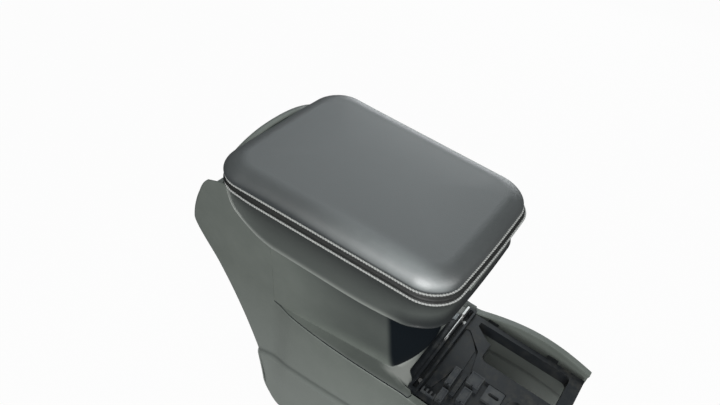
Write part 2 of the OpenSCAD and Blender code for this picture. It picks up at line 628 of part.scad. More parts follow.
module lid_bumpers() color("black") for (s = [-1, 1]) translate([bin_x1 - 2, s * (bin_w - 16), rim_z]) {
    x = 8;
    translate([x, 0, 0]) cylinder(r = 6, h = 4);
    translate([x, 0, 0]) cylinder(r = 4.5, h = liner_z - rim_z - fit);
}

// Front carrier: a black moulded grid with two through openings and a deck
frame_w = waist_w - top_edge_w - 0.5;
frame_top = ledge_z;
frame_x1 = x_end - 2;
open_x0 = rail_x + 54;
open_x1 = x_end - 19;
near_x0 = rail_x + 113;
beam_y0 = -6;
beam_y1 = 20;
module round_slot(x0, x1, y0, y1, r) translate([x0 + r, y0 + r]) offset_square([x1 - x0 - 2 * r, y1 - y0 - 2 * r], r);
module front_carrier() color("black") {
    y1 = frame_w - bar_w;
    difference() {
        translate([rail_x + rail_w + 0.2, -frame_w, frame_top - frame_h])
            cube([frame_x1 - rail_x - rail_w, 2 * frame_w, frame_h]);
        // Far opening with the notch at its rear corner
        translate([0, 0, frame_top - frame_h - 1]) linear_extrude(frame_h + 2) {
            round_slot(open_x0, open_x1, beam_y1, y1, 8);
            polygon([[rail_x + 26, y1], [open_x0 + 20, y1], [open_x0 + 20, y1 - 24], [open_x0 - 5, y1 - 24],
                [rail_x + 26, y1 - 8]]);
        }
        // Near opening
        translate([0, 0, frame_top - frame_h - 1]) linear_extrude(frame_h + 2)
            round_slot(near_x0, open_x1, -y1, beam_y0, 12);
        // Lowered deck behind the openings, with its cut corners
        translate([0, 0, deck_z - 3]) linear_extrude(frame_h) polygon([[rail_x + rail_w - 1, -y1],
            [near_x0 - 6, -y1], [near_x0 - 6, beam_y0], [open_x0, beam_y0], [open_x0 - 8, beam_y1 + 8],
            [rail_x + rail_w + 8, beam_y1 + 32], [rail_x + rail_w - 1, beam_y1 + 32]]);
        // Hollow underside of the deck
        translate([rail_x + rail_w + 3, -y1, frame_top - frame_h - 1])
            cube([near_x0 - rail_x - rail_w - 9, y1 + beam_y0, frame_h - 8]);
    }
    // Ribs across the hollow underside
    for (x = [rail_x + 34, rail_x + 58, rail_x + 82]) translate([x, -y1 - 1, frame_top - frame_h])
        cube([3, y1 + beam_y0 + 2, frame_h - 6]);
    // Raised deck plate with cut corners
    translate([0, 0, deck_z - 3.2]) linear_extrude(3.2) polygon([[rail_x + 15, -60], [rail_x + 23, -60],
        [rail_x + 30, -34], [rail_x + 33, -14], [rail_x + 43, -10], [rail_x + 42, 28], [rail_x + 22, 54],
        [rail_x + 15, 54]]);
    // Lugs that reach the side panels
    for (s = [-1, 1]) for (x = [rail_x + 40, x_end - 50]) {
        reach = half_w(x, frame_top - 10) - panel_t - 1.2;
        translate([x - 8, s > 0 ? frame_w - 1 : -reach, frame_top - 14]) cube([16, reach - frame_w + 1, 6]);
    }
    // Tabs under the cross rail
    for (y = rail_screw_y) difference() {
        sideways(y - 8, y + 8) polygon([[rail_x + 1, frame_top - frame_h - 4],
            [rail_x + rail_w + 6, frame_top - frame_h - 4], [rail_x + rail_w + 6, frame_top - frame_h + 1],
            [rail_x + rail_w + 0.2, frame_top - frame_h + 1], [rail_x + rail_w + 0.2, frame_top - frame_h],
            [rail_x + 1, frame_top - frame_h]]);
        translate([rail_x + rail_w / 2, y, frame_top - frame_h - 5]) cylinder(r = screw_r + pin_gap, h = 6);
    }
    // Lateral rib between the sockets
    translate([rail_x + 47, -56, deck_z - 3.2]) cube([6, 40, socket_h + 1]);
}

module cross_rail() color("black") difference() {
    translate([rail_x, -frame_w, frame_top - frame_h]) cube([rail_w, 2 * frame_w, frame_h + 8]);
    translate([rail_x + 3.5, 4 - frame_w, frame_top - 4]) cube([rail_w - 6.5, 2 * frame_w - 8, 20]);
    for (y = rail_screw_y) translate([rail_x + rail_w / 2, y, frame_top - frame_h - 1])
        cylinder(r = screw_r + pin_gap, h = frame_h);
}

rail_screw_y = [-60, 60];
module rail_screws() color("gray") for (y = rail_screw_y) translate([rail_x + rail_w / 2 + 0.25, y, 0]) {
    translate([-0.25, 0, frame_top - frame_h - 4]) cylinder(r = screw_r, h = frame_h);
    translate([-0.25, 0, frame_top - 4]) cylinder(r = 2.9, h = 1.8);
}

// Bright leaf spring along the rail's rear lip
module spring_strip() color("silver") {
    y0 = 8;
    z = frame_top + 8;
    translate([rail_x + 1.2, y0, z]) cube([1.2, 66, 7]);
    translate([rail_x + 0.4, y0 + 48, z]) cube([2.8, 18, 10]);
    translate([rail_x + 0.4, y0, z]) cube([2.8, 8, 3]);
}

module ledge_clip() color("gray") translate([corner_x + 18.4, 50, ledge_z + panel_t + 0.2]) {
    cube([9, 12, 2.4]);
    translate([2, 2, 2.4]) cube([5, 8, 1]);
}

// Raised sockets on the deck, each a box with a shallow top recess
sockets = [[34, -46, 9, 31], [56, -28, 18, 21.5], [58, -58, 12, 24], [36, -74.5, 9, 21]];
module socket_blocks() color("dimgray") for (b = sockets)
    translate([rail_x + b[0], b[1], deck_z - 3]) difference() {
        cube([b[2], b[3], socket_h + 3]);
        translate([1.5, 1.5, socket_h + 2]) cube([b[2] - 3, b[3] - 3, 2]);
        translate([b[2] / 2 - 1, -1, socket_h - 4]) cube([2, 4, 20]);
    }

module slotted_plate() color("dimgray") translate([rail_x + 82, -32, deck_z - 3]) difference() {
    linear_extrude(5) polygon([[0, 0], [17, 0], [24, 8], [24, 25], [0, 25]]);
    translate([5, 10, -1]) linear_extrude(8) round_slot(0, 15, 0, 5.4, 2.6);
}

module side_comb() color("dimgray") {
    base_y = -frame_w + bar_w;
    translate([rail_x + 15, base_y + 0.2, deck_z - 3]) cube([20, 3, 7]);
    for (k = [0 : 3]) translate([rail_x + 15 + k * 5.8, base_y + 3, deck_z - 3]) cube([2.4, 6, 7]);
}

// Steel cross plates that hold the console to the floor
bolt_r = 3.3;
bolt_y = 60;
bolt_x = [x_back + 235, x_end - 51];
module floor_bracket(x) difference() {
    side = half_w(x, bracket_t) - panel_t - fit;
    union() {
        translate([x - 16, -side, 0]) cube([32, 2 * side, bracket_t]);
        for (dx = [-16, 13]) translate([x + dx, -side + 12, bracket_t]) cube([3, 2 * side - 24, 6]);
    }
    for (s = [-1, 1]) translate([x, s * bolt_y, -1]) cylinder(r = bolt_r, h = bracket_t + 2);
}

module floor_bracket_front() color("silver") floor_bracket(bolt_x[1]);

module floor_bracket_rear() color("silver") floor_bracket(bolt_x[0]);

lid_cushion();
foam_pad();
seam_band();
lid_skirt();
lid_core();
lid_liner();
hinge_arms();
hinge_cover();
arm_screws();
latch_bracket();
latch_pin();
latch_spring();
latch_handle();
latch_hook();
side_panel_right();
side_panel_left();
rear_panel();
rear_lower_trim();
upper_surround();
storage_bin();
bin_mat();
hinge_bracket();
hinge_pin();
torsion_spring();
bracket_screws();
striker();
lid_bumpers();
front_carrier();
cross_rail();
spring_strip();
ledge_clip();
socket_blocks();
slotted_plate();
side_comb();
rail_screws();
floor_bracket_front();
floor_bracket_rear();
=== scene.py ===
"""Looks of a car's centre armrest: a stitched leather lid over a moulded console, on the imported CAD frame."""
import math

import bmesh
import bpy
import numpy as np
from mathutils import Matrix, Vector


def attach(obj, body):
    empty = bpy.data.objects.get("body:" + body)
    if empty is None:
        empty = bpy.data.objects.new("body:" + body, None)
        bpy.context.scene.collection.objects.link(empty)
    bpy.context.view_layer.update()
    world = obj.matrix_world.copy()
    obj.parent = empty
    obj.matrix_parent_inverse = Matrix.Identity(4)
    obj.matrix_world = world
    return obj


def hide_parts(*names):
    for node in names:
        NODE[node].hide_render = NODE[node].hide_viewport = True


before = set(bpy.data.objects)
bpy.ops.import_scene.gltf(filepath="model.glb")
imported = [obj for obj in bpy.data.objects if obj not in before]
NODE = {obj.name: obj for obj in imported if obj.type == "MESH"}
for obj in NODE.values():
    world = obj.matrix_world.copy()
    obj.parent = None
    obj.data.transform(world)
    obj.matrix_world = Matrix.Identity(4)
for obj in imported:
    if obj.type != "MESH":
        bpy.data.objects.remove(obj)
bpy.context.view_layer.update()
MM = 0.001

# ---- Side panels ---------------------------------------------------------------------------------------
# Two mirrored shells of grained grey plastic, injection moulded. Their rear edges turn in round a soft
# corner, and a step runs along each side as a crease, with painted shade along it.


def mix(a, b, t):
    """a + (b - a) t"""
    return a + (b - a) * t


def ramp(t):
    """t held between 0 and 1"""
    return np.clip(t, 0.0, 1.0)


def ease(t):
    """0 to 1 with a level start and end: 3 t^2 - 2 t^3"""
    t = ramp(t)
    return t * t * (3 - 2 * t)


def bezier(p, t):
    """Cubic curve through p0 and p3, steered by p1 and p2."""
    t = np.asarray(t, float)[..., None]
    u, p = 1 - t, np.asarray(p, float)
    return u**3 * p[0] + 3 * u * u * t * p[1] + 3 * u * t * t * p[2] + t**3 * p[3]


def new_piece(name, pts, faces):
    """Smooth mesh from points in millimetres and faces as lists of point numbers."""
    mesh = bpy.data.meshes.new(name)
    mesh.from_pydata((pts.reshape(-1, 3) * MM).tolist(), [], faces)
    mesh.polygons.foreach_set("use_smooth", [True] * len(faces))
    mesh.update()
    ob = bpy.data.objects.new(name, mesh)
    bpy.context.scene.collection.objects.link(ob)
    return ob


def grid(name, pts, wrap=False, caps=False, attr=None):
    """Mesh through an array of points, rows by columns by 3, in millimetres. wrap joins the last column to
    the first, and caps closes the first and last row of a wrapped grid. attr maps a name to one value a
    point."""
    pts = np.asarray(pts, float)
    rows, cols = pts.shape[:2]
    i, j = np.meshgrid(np.arange(rows - 1), np.arange(cols if wrap else cols - 1), indexing="ij")
    k = (j + 1) % cols
    faces = np.stack([i * cols + j, i * cols + k, (i + 1) * cols + k, (i + 1) * cols + j], -1)
    faces = faces.reshape(-1, 4).tolist()
    if caps:
        faces += [list(range(cols))[::-1], [(rows - 1) * cols + c for c in range(cols)]]
    ob = new_piece(name, pts, faces)
    for key, values in (attr or {}).items():
        layer = ob.data.attributes.new(key, "FLOAT", "POINT")
        layer.data.foreach_set("value", np.asarray(values, float).reshape(-1))
    return ob


def weld(ob, dist=0.00002):
    """Joins points that lie on each other and turns all faces the same way."""
    bm = bmesh.new()
    bm.from_mesh(ob.data)
    bmesh.ops.remove_doubles(bm, verts=bm.verts, dist=dist)
    bmesh.ops.recalc_face_normals(bm, faces=bm.faces)
    bm.to_mesh(ob.data)
    bm.free()
    return ob


def join(name, obs):
    """One object from several, with their attributes kept."""
    bpy.ops.object.select_all(action="DESELECT")
    for o in obs:
        o.select_set(True)
    bpy.context.view_layer.objects.active = obs[0]
    bpy.ops.object.join()
    ob = bpy.context.view_layer.objects.active
    ob.name = ob.data.name = name
    ob.select_set(False)
    return ob


def facing(ob, axis, sign):
    """Turns the faces so that they look along sign times the axis on average."""
    n = np.empty(len(ob.data.polygons) * 3)
    ob.data.polygons.foreach_get("normal", n)
    a = np.empty(len(ob.data.polygons))
    ob.data.polygons.foreach_get("area", a)
    if (n.reshape(-1, 3)[:, axis] * a).sum() * sign < 0:
        ob.data.flip_normals()
    return ob


def mirrored(ob, name):
    """The same piece on the other side of the XZ plane."""
    other = ob.copy()
    other.data = ob.data.copy()
    other.name = other.data.name = name
    bpy.context.scene.collection.objects.link(other)
    co = np.empty(len(other.data.vertices) * 3)
    other.data.vertices.foreach_get("co", co)
    co.reshape(-1, 3)[:, 1] *= -1
    other.data.vertices.foreach_set("co", co)
    other.data.flip_normals()
    return other


def soften(ob, width, angle):
    """Rounds the edges at which faces meet at more than an angle, over a width in millimetres."""
    b = ob.modifiers.new("edge", "BEVEL")
    b.width, b.segments, b.limit_method, b.angle_limit = width * MM, 2, "ANGLE", math.radians(angle)
    return b


def wall(ob, thick, bevel=0.5, even=True):
    """Gives an open sheet a wall behind it and a soft edge, both in millimetres."""
    m = ob.modifiers.new("wall", "SOLIDIFY")
    m.thickness, m.offset, m.use_even_offset = thick * MM, -1, even
    soften(ob, bevel, 50).harden_normals = True
    return ob


def place(ob, body, slot, *nodes):
    """Puts a piece on its body and hides the CAD nodes it stands for. The slot is not used."""
    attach(ob, body)
    if nodes:
        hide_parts(*nodes)
    return ob


class Sock:
    """A shader value that can be added, multiplied and so on, each as one Math node."""

    def __init__(self, tree, out):
        self.tree, self.out = tree, out

    def _math(self, op, a, b):
        n = self.tree.nodes.new("ShaderNodeMath")
        n.operation = op
        for k, v in enumerate((a, b)):
            if isinstance(v, Sock):
                self.tree.links.new(v.out, n.inputs[k])
            else:
                n.inputs[k].default_value = v
        return Sock(self.tree, n.outputs[0])

    def __add__(self, o): return self._math("ADD", self, o)
    def __radd__(self, o): return self._math("ADD", o, self)
    def __sub__(self, o): return self._math("SUBTRACT", self, o)
    def __rsub__(self, o): return self._math("SUBTRACT", o, self)
    def __mul__(self, o): return self._math("MULTIPLY", self, o)
    def __rmul__(self, o): return self._math("MULTIPLY", o, self)
    def __truediv__(self, o): return self._math("DIVIDE", self, o)
    def __rtruediv__(self, o): return self._math("DIVIDE", o, self)
    def clip(self): return self._math("MAXIMUM", self._math("MINIMUM", self, 1.0), 0.0)
    def step(self, lo, hi): return ((self - lo) / (hi - lo)).clip()


class Paint:
    """One procedural material in Object coordinates. node() adds a node: settings first, then values and
    links; a name of i and a number stands for the socket with that number."""

    def __init__(self, name, rough, metal=0.0, spec=0.5):
        self.mat = bpy.data.materials.new(name)
        self.mat.use_nodes = True
        self.tree = self.mat.node_tree
        self.bsdf = self.tree.nodes["Principled BSDF"]
        self.set("Roughness", rough)
        self.set("Metallic", metal)
        self.set("Specular IOR Level", spec)
        self.pos = self.node("ShaderNodeTexCoord").outputs["Object"]

    def plug(self, socket, v):
        """Links a socket to a value's node, or sets it."""
        v = v.out if isinstance(v, Sock) else v
        if isinstance(v, bpy.types.NodeSocket):
            self.tree.links.new(v, socket)
        else:
            socket.default_value = v

    def node(self, kind, settings=None, **inputs):
        n = self.tree.nodes.new(kind)
        for k, v in (settings or {}).items():
            setattr(n, k, v)
        for k, v in inputs.items():
            self.plug(n.inputs[int(k[1:]) if k[0] == "i" and k[1:].isdigit() else k.replace("_", " ")], v)
        return n

    def set(self, key, v):
        self.plug(self.bsdf.inputs[key], v)

    def noise(self, scale, detail=3.0, rough=0.5):
        n = self.node("ShaderNodeTexNoise", Vector=self.pos, Scale=scale, Detail=detail, Roughness=rough)
        return Sock(self.tree, n.outputs["Fac"])

    def cells(self, scale, feature="F1"):
        n = self.node("ShaderNodeTexVoronoi", {"feature": feature}, Vector=self.pos, Scale=scale)
        return Sock(self.tree, n.outputs["Distance"])

    def height(self):
        return Sock(self.tree, self.node("ShaderNodeSeparateXYZ", Vector=self.pos).outputs["Z"])

    def attr(self, name):
        return Sock(self.tree, self.node("ShaderNodeAttribute", {"attribute_name": name}).outputs["Fac"])

    def blend(self, share, a, b):
        """Colour a, turning into colour b as the share goes from 0 to 1."""
        n = self.node("ShaderNodeMix", {"data_type": "RGBA"})
        for socket, v in ((n.inputs[0], share), (n.inputs[6], a), (n.inputs[7], b)):
            self.plug(socket, (*v, 1.0) if isinstance(v, tuple) else v)
        return n.outputs[2]

    def bump(self, height, strength, dist):
        self.set("Normal", self.node("ShaderNodeBump", Height=height, Strength=strength,
                                     Distance=dist).outputs["Normal"])

    def cover(self, share, shader):
        """Lays another node's shader over the paint's own one by a share from 0 to 1."""
        both = self.node("ShaderNodeMixShader", i0=share, i1=self.bsdf.outputs["BSDF"], i2=shader.outputs[0])
        self.tree.links.new(both.outputs[0], self.tree.nodes["Material Output"].inputs["Surface"])


def dress(ob, paint):
    """Gives a piece its material."""
    ob.data.materials.clear()
    ob.data.materials.append(paint.mat)
    return ob


# Sizes in millimetres: X runs forward, Z up, and the origin lies on the floor at mid length
CONSOLE, REAR_BOW = 579.0, 3.0
X_BACK, X_END = -CONSOLE / 2 + REAR_BOW, CONSOLE / 2
LID = 160.0  # half the lid's length
LID_X = X_BACK + 93 + LID  # its middle
CORNER = LID_X + LID - 53  # front corner of the box under the lid
SPLIT = CORNER - 196  # rear end of the shoulder, where it meets the ears
RAIL_X = CORNER + 32
LEDGE, CREASE, SEAM, RIM = 228.0, 76.0, 450.0, 420.0
TIP, EAR_END = np.array([X_BACK + 56.6, SEAM - 46]), np.array([X_BACK + 92, SEAM - 31.5])
EAR_BEND = 380.0  # up to here the ear's front edge stands upright
TURN_IN, FREE_EDGE = 14.0, 2.4  # width of the turned-in rear edge low down and at the ears
ARCH_X, ARCH = RAIL_X + 13, 18.0  # start and rise of the arched top edge beside the carrier


def half_width(x, z):
    """Half width of the console outside: spreads as a square law above the shoulder and down to the crease,
    steps out there, then runs straight to the floor. Behind the carrier and beside it, it swells by a sine
    each, and the rear one of the two eases in over a fifth of its length."""
    x, z = np.broadcast_arrays(np.asarray(x, float), np.asarray(z, float))
    up = 10.5 * ((z - LEDGE) / (SEAM - 27 - LEDGE)) ** 2
    down = 8.5 * ramp((LEDGE - z) / (LEDGE - CREASE)) ** 2
    low = ramp((CREASE - z) / CREASE)
    step = 2.5 * ease((CREASE - z) / 6)
    along = ramp((x - SPLIT + 10) / 255)
    swell = 8 * np.sin(np.pi * ramp((x - RAIL_X) / (X_END - RAIL_X)))
    swell = (swell + 8 * np.sin(np.pi * along**0.75 * ease(along / 0.2))) * ramp(z / CREASE)
    return 93.5 + np.where(z > LEDGE, up, down + step + 19.5 * low) + swell


def rear_outline(counts):
    """Rear edge of the console in X and Z, from the floor to the ear, along six cubic curves. The last one is
    the ear's top edge, which runs forward from its tip."""
    hip, waist = np.array([X_BACK, SEAM - 154]), np.array([X_BACK + 41.5, LEDGE])
    heel, toe = np.array([X_BACK + 123.5, CREASE + 9]), np.array([X_BACK + 154.5, 30])
    base = np.array([X_BACK + 187.5, 0])
    curves = [[base, toe + [22, -28], toe + [4, -16], toe],
              [toe, toe + [-6, 18], heel + [8, -16], heel],
              [heel, heel + [-24, 45], waist + [26, -42], waist],
              [waist, waist + [-12, 18.5], hip + [1.5, -20], hip],
              [hip, hip + [6, 35], TIP + [-25, -23], TIP],
              [TIP, TIP + [12, 5.5], EAR_END + [-12, -4], EAR_END]]
    return np.concatenate([[base]] + [bezier(c, np.arange(1, n + 1) / n) for c, n in zip(curves, counts)])


def side_panel(name):
    """Right-hand panel. Rows follow the rear outline, columns run round the turned-in edge and along the
    side. Below the shoulder the panel runs to the console's front, above it to the ear's front edge."""
    outline = rear_outline([8, 22, 24, 12, 26, 12])
    low, high = outline[outline[:, 1] <= LEDGE + 1e-6], outline[outline[:, 1] >= LEDGE - 1e-6]
    n_rear, n_front = 30, 76

    def section(p, x_front):
        """Plan of each row: the turned-in edge, a quarter round, and the side up to x_front."""
        x0, z0 = p[:, :1], p[:, 1:]
        w = half_width(x0, z0)
        turn = mix(TURN_IN, FREE_EDGE, ramp((z0 - 350) / 45))
        r = np.minimum(np.minimum(8.0, 0.45 * (x_front[:, None] - x0)), 0.8 * turn)
        a = np.radians(np.linspace(180, 270, 9))[None]
        side_x = mix(x0 + r, x_front[:, None], np.linspace(0, 1, n_rear + 1)[None, 1:])
        x = [np.repeat(x0, 3, 1), x0 + r + r * np.cos(a), side_x]
        y = [mix(r, turn, np.array([[1, 0.6, 0.3]])) - w, r - w + r * np.sin(a), -half_width(side_x, z0)]
        return np.concatenate(x, 1), np.concatenate(y, 1)

    x_mid = SPLIT + 170 * (LEDGE - low[:, 1]) / LEDGE
    x, y = section(low, x_mid)
    z0 = low[:, 1:]
    front_x = mix(x_mid[:, None], X_END, np.linspace(0, 1, n_front + 1)[None, 1:])
    x, y = np.concatenate([x, front_x], 1), np.concatenate([y, -half_width(front_x, z0)], 1)
    # Rows near the crease rise forward, nearing 70 mm by an exponential law, two thirds of it in 130 mm
    near = np.where(z0 < CREASE, z0 / CREASE, ramp((LEDGE - z0) / (LEDGE - CREASE)))
    z = z0 + 70 * (1 - np.exp((low[:, :1] - x) / 120)) * near
    # The top edge arches beside the carrier as part of a sine, and draws the rows under it along
    arch = ARCH * np.sin(np.pi * ramp((x - ARCH_X) / (1.345 * (X_END - ARCH_X))))
    z = z + arch * ramp((z0 - CREASE) / (LEDGE - CREASE)) ** 2
    edge = 2.0 * ramp((x - SPLIT) / 40)
    z[-1] -= edge[-1]
    # Painted shade along the crease: a bell curve 3.5 mm wide, 1 mm above it, where its shadow falls
    crease_shade = np.exp(-((z0 - CREASE - 1) / 3.5) ** 2)
    body = grid(name, np.stack([x, y, z], -1), attr={"crease": np.broadcast_to(crease_shade, x.shape)})
    # In front of the ears the top edge rolls inwards over 2 mm and runs flat to its width of 10 mm
    top_x, top_y, top_z, r = (v[-1, -n_front - 1:] for v in (x, y, z, edge))
    a = np.radians([0, 18, 36, 54, 72, 90])[:, None]
    roll = np.stack([np.repeat(top_x[None], 6, 0), top_y + r * (1 - np.cos(a)), top_z + r * np.sin(a)], -1)
    rim = grid(name + "_rim", np.concatenate([roll, roll[-1:] + np.array([0, 8.0, 0])]))
    # Above its bend the ear's front edge sweeps back to the end of its top edge
    s = ramp((high[:, 1] - EAR_BEND) / (EAR_END[1] + 0.5 - EAR_BEND))
    ear_front = np.where(high[:, 1] <= EAR_BEND, SPLIT, mix(SPLIT, EAR_END[0], 1 - (1 - s) ** 1.1))
    x, y = section(high, ear_front)
    ear = grid(name + "_ear", np.stack([x, y, np.repeat(high[:, 1:], x.shape[1], 1)], -1))
    return weld(join(name, [body, rim, ear]))


def grained(name):
    """Paint with the plastic's fine pebbled grain and clouds of dust, and its colour, which is paler below a
    height of 240 mm as painted light."""
    paint = Paint(name, 0.5, spec=0.35)
    cloud = paint.noise(9.0, 4.0)
    dust = paint.noise(38.0, 6.0, 0.65).step(0.42, 0.78)
    paint.set("Roughness", cloud * 0.12 + 0.44)
    paint.bump(paint.cells(1500.0) * 0.7 + paint.noise(900.0, 2.0) * 0.5, 0.16, 0.0003)
    tone = paint.blend(dust * 0.30 + cloud * 0.22, (0.056, 0.064, 0.057), (0.088, 0.097, 0.087))
    # Painted light: the colour turns paler from 240 mm down to 50 mm
    return paint, paint.blend(paint.height().step(0.24, 0.05), tone, (0.097, 0.107, 0.099))


shell_paint, tone = grained("grey_shell")
# The crease is painted darker, as painted shade
shell_paint.set("Base Color", shell_paint.blend(shell_paint.attr("crease") * 0.6, tone,
                                                (0.022, 0.026, 0.024)))
right = wall(facing(side_panel("right_side"), 1, -1), 3.0, 0.25, even=False)
left = mirrored(right, "left_side")
for ob, node in ((right, "side_panel_right"), (left, "side_panel_left")):
    place(dress(ob, shell_paint), "console", "plastic_grey", node)

# ---- Rear panel and lower trim -------------------------------------------------------------------------
# The rear panel, of the same plastic, closes the back between the side panels' turned-in edges. It sinks in
# between the ears and ends under the hinge cover. The trim is a bulged strip clipped on below it.
HINGE_X, HINGE_Z = LID_X - 150, RIM
PANEL_TOP = 396.0  # above it the panel ends in an upright lip
outline = rear_outline([8, 8, 22, 12, 30, 4])
between = outline[(outline[:, 1] > CREASE + 1) & (outline[:, 1] < PANEL_TOP - 1)]
first, last = ([np.interp(h, outline[:, 1], outline[:, 0]), h] for h in (CREASE, PANEL_TOP))
lip = [[HINGE_X - 37.5, h] for h in (396.6, 397.2, 399.4, 398.4)]
rows = np.concatenate([[first], between, [last], lip])
x0, z0 = rows[:, :1], rows[:, 1:]
v = np.linspace(1, -1, 65)[None]
# How far it sinks in, by smooth steps in height: 22 mm at its ends, and 13 mm more in between as 1 - v^4.
# Below that it bows out as a parabola. Its ends widen where the turned-in edges get narrow
edge = 22 * ease((z0 - 350) / 40)
hollow = ease((z0 - 285) / 60)
sink = edge + 13 * hollow * (1 - v**4) - REAR_BOW * (1 - hollow) * (1 - v * v)
half = half_width(x0, np.minimum(z0, PANEL_TOP)) - 14.4 + 10.6 * ramp((edge - 3.5) / 3)
# It stays behind the hinge bracket's lower flange, and comes up to 38 mm from the hinge above it
limit = HINGE_X - 38 - 9.3 * (1 - ease((z0 - 377) / 14))
x = np.where(z0 > PANEL_TOP, x0, np.maximum(np.minimum(x0 + sink, limit), x0 - 4))
rear = grid("rear_cover_panel", np.stack([x, half * v, np.repeat(z0, 65, 1)], -1))
wall(facing(weld(rear), 0, -1), 2.9)
place(dress(rear, shell_paint), "console", "plastic_grey", "rear_panel")

# The trim stands 2.5 to 6 mm proud as a sine, bows like the panel, and draws back by 1.6 mm at its ends
z = np.linspace(0, 1, 26) * (CREASE - 0.5)
x = np.interp(z, outline[:, 1], outline[:, 0])
proud = 2.5 + 3.5 * np.sin(np.pi * z / CREASE)
proud[-2:] *= [0.92, 0.7]
half = half_width(x, z) - 3
v = np.linspace(1, -1, 49)[None]
bow = REAR_BOW * np.sin(np.pi * z / CREASE)[:, None] * (1 - v * v)
bow = bow - 1.6 * (np.maximum(np.abs(v) - 0.96, 0) / 0.04) ** 2
pts = np.stack([(x - proud)[:, None] - bow, half[:, None] * v, np.repeat(z[:, None], 49, 1)], -1)
trim = wall(facing(weld(grid("rear_trim_strip", pts)), 0, -1), 2.2)
place(dress(trim, shell_paint), "console", "plastic_grey", "rear_lower_trim")

# ---- Upper surround ------------------------------------------------------------------------------------
# One grey moulding: the recessed box under the lid with its bowed, leaning front wall, and the flat shoulder
# that carries it, joined by a small cove. A groove runs along the shoulder's outer edge. Painted shade makes
# the front wall and the groove near-black and the box darker under the lid; painted light makes the front ledge
# pale.
FRONT_Y, ARC_R, SIDE_STEPS = 74.0, 8.0, 26
FOOT = LEDGE + 3
FLIP = np.array([1, -1])


def wall_path(z, cove):
    """Plan of the box's wall: sides that draw in from the ears towards round front corners, and a front bowed
    as a parabola. The corners lean back by 31 mm over the wall's height, cove moves the foot outwards, and
    the first point laps 3 mm under the ear."""
    corner_x = CORNER - 31.0 * ramp((z - LEDGE) / (RIM - 3 - LEDGE))
    wide = min(half_width(SPLIT, z), half_width(SPLIT, RIM))
    s = np.linspace(0, 1, SIDE_STEPS + 1)
    drawn = np.where(s < 0.25, s * s / 0.5, s - 0.125) / 0.875
    side = np.stack([mix(SPLIT, corner_x - ARC_R, s),
                     -mix(wide - 0.1, FRONT_Y, drawn) - cove * 0.15 * ramp(s / 0.2)], 1)
    side[0] = SPLIT - 3, 0.15 - min(half_width(SPLIT - 3, z), half_width(SPLIT - 3, RIM))
    a = np.radians(np.linspace(285, 345, 5))
    arc = np.stack([corner_x - ARC_R + ARC_R * np.cos(a) + cove * 0.6,
                    ARC_R - FRONT_Y + ARC_R * np.sin(a)], 1)
    k = np.linspace(-1, 1, 41)
    front = np.stack([corner_x + 17.0 * (1 - k * k) + cove, (FRONT_Y - ARC_R) * k], 1)
    return np.concatenate([side, arc, front, arc[::-1] * FLIP, side[::-1] * FLIP])


def at_height(plan, z):
    """Points of a plan set at a height, or at one height a point."""
    return np.column_stack([plan, np.broadcast_to(z, len(plan))])


def length_along(path):
    """Distance along a path at each of its points."""
    return np.concatenate([[0], np.cumsum(np.linalg.norm(np.diff(path, axis=0), axis=1))])


def points_at(at, run, path):
    """Points of a plan at distances along it, where run is the distance at each of its own points."""
    return np.stack([np.interp(at, run, path[:, k]) for k in (0, 1)], 1)


levels = [(FOOT + k, 4 * (1 - k / 9) ** 2) for k in (0, 1, 2.2, 3.6, 5.2, 7, 9)]
levels += [(z, 0.0) for z in np.linspace(FOOT + 16, RIM - 3, 22)]
walls = [at_height(wall_path(z, cove), z) for z, cove in levels]
base = walls[0][:, :2]

# Outer edge of the shoulder: along the side panels, round the front corners and along the rail flange
x = np.linspace(SPLIT, CORNER + 41, 40)
foot_y = np.interp(x, base[:SIDE_STEPS + 1, 0], base[:SIDE_STEPS + 1, 1]) - 0.2
y = np.minimum(0.8 - half_width(x, LEDGE), np.where(x < CORNER - 10, foot_y, 0))
side = np.stack([x, y], 1)
turn = np.array([[42, -91.5], [42, -83.5], [31.5, -83.5], [31.5, -71], [21, -20]]) + [CORNER, 0]
shoulder = np.concatenate([side, turn, turn[::-1] * FLIP, side[::-1] * FLIP])
# Each point of the wall's foot gets its own on that edge: knots are the places along the foot that belong to
# the edge's points, from the ear to the middle and then mirrored
run, own = length_along(shoulder), length_along(base)
reach = own[SIDE_STEPS]
knots = np.concatenate([np.linspace(0, reach * 0.93, 40), [reach * 0.95, reach * 0.98],
                        own[[SIDE_STEPS + 1, SIDE_STEPS + 4, SIDE_STEPS + 18]]])
knots = np.concatenate([knots, own[-1] - knots[::-1]])
rim = points_at(np.interp(own, knots, run), run, shoulder)
edge = [at_height(rim, h) for h in (LEDGE, FOOT - 1.0, FOOT - 0.25)]
ledge = [at_height(mix(rim, base, s), FOOT) for s in (0.02, 0.25, 0.5, 0.75)]
pts = np.array(edge + ledge + walls)

# front: painted shade, near-black: 1 on the front wall between the corners, fading in over six points past
# them, and 0.9 in the groove
count, n_flat = len(base), len(edge + ledge)
past = np.minimum(np.arange(count), count - 1 - np.arange(count)) - SIDE_STEPS
front = np.repeat([ease(past / 6)], len(pts), 0)
front[:n_flat + 1] = 0
front[:2], front[2] = 0.9, 0.3
# Painted shade under the lid, stronger forwards and upwards, and on the flat at its middle and front
x, y, z = np.moveaxis(pts, -1, 0)
out, flat = np.abs(y), z < FOOT + 1.5
painted_shade = ease((x - SPLIT) / 170) * (0.45 * ease((z - FOOT) / 30) + 0.55 * ease((z - FOOT - 60) / 90))
# Painted light: the ledge in front of the box is painted pale where the light falls on it
painted_light = ease((x - CORNER + 20) / 24) * flat * ease((out - 5) / 55) * ease((84 - out) / 6)
shade = mix(0.9, 0.3 * ease((x - SPLIT - 40) / 120), ease((out - 5) / 55))
painted_shade = np.maximum(painted_shade, flat * shade * (1 - painted_light))
surround = weld(grid("box_surround", pts, attr={"front": front, "painted_shade": painted_shade, "painted_light": painted_light}))
wall(facing(surround, 2, 1), 2.6, 0.4, even=False)

